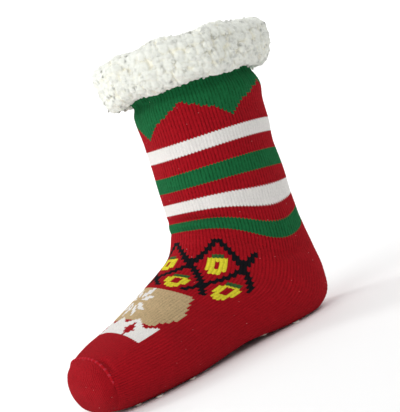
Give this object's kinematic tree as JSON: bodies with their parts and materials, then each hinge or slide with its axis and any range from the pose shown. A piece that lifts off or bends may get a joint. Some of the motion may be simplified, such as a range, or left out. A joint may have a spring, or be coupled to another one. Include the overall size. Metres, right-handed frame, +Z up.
{
  "type": "slipper sock",
  "caption": "Knitted slipper sock with a turned-down deep-pile cuff, striped leg, closed heel and toe, and round silicone grips under the sole.",
  "frame": {"origin": "on the floor plane that the grips stand on, under the middle of the whole sock's bounding box", "axes": "+Z up along the leg, -Y towards the toe, +X towards the big-toe side of the right foot whose form it has"},
  "size_m": [0.1506, 0.281, 0.2642],
  "materials": {
    "knit": "matt acrylic stockinette knit, red with green, white, tan and black colourwork",
    "pile": "matt off-white curly polyester fleece pile",
    "grip_silicone": "satin translucent-white moulded silicone"
  },
  "bodies": {
    "root": {"grip_01_1": "grip_silicone", "grip_01_2": "grip_silicone", "grip_02_1": "grip_silicone", "grip_02_2": "grip_silicone", "grip_02_3": "grip_silicone", "grip_03_1": "grip_silicone", "grip_03_2": "grip_silicone", "grip_03_3": "grip_silicone", "grip_03_4": "grip_silicone", "grip_04_1": "grip_silicone", "grip_04_2": "grip_silicone", "grip_04_3": "grip_silicone", "grip_05_1": "grip_silicone", "grip_05_2": "grip_silicone", "grip_05_3": "grip_silicone", "grip_05_4": "grip_silicone", "grip_06_1": "grip_silicone", "grip_06_2": "grip_silicone", "grip_06_3": "grip_silicone", "grip_07_1": "grip_silicone", "grip_07_2": "grip_silicone", "grip_07_3": "grip_silicone", "grip_07_4": "grip_silicone", "grip_08_1": "grip_silicone", "grip_08_2": "grip_silicone", "grip_08_3": "grip_silicone", "grip_09_1": "grip_silicone", "grip_09_2": "grip_silicone", "grip_09_3": "grip_silicone", "grip_09_4": "grip_silicone", "grip_10_1": "grip_silicone", "grip_10_2": "grip_silicone", "grip_10_3": "grip_silicone", "grip_10_4": "grip_silicone", "grip_10_5": "grip_silicone", "grip_11_1": "grip_silicone", "grip_11_2": "grip_silicone", "grip_11_3": "grip_silicone", "grip_11_4": "grip_silicone", "grip_12_1": "grip_silicone", "grip_12_2": "grip_silicone", "grip_12_3": "grip_silicone", "grip_12_4": "grip_silicone", "grip_12_5": "grip_silicone", "grip_13_1": "grip_silicone", "grip_13_2": "grip_silicone", "grip_13_3": "grip_silicone", "grip_13_4": "grip_silicone", "knit_upper": "knit", "pile_cuff": "pile"}
  },
  "joints": []
}
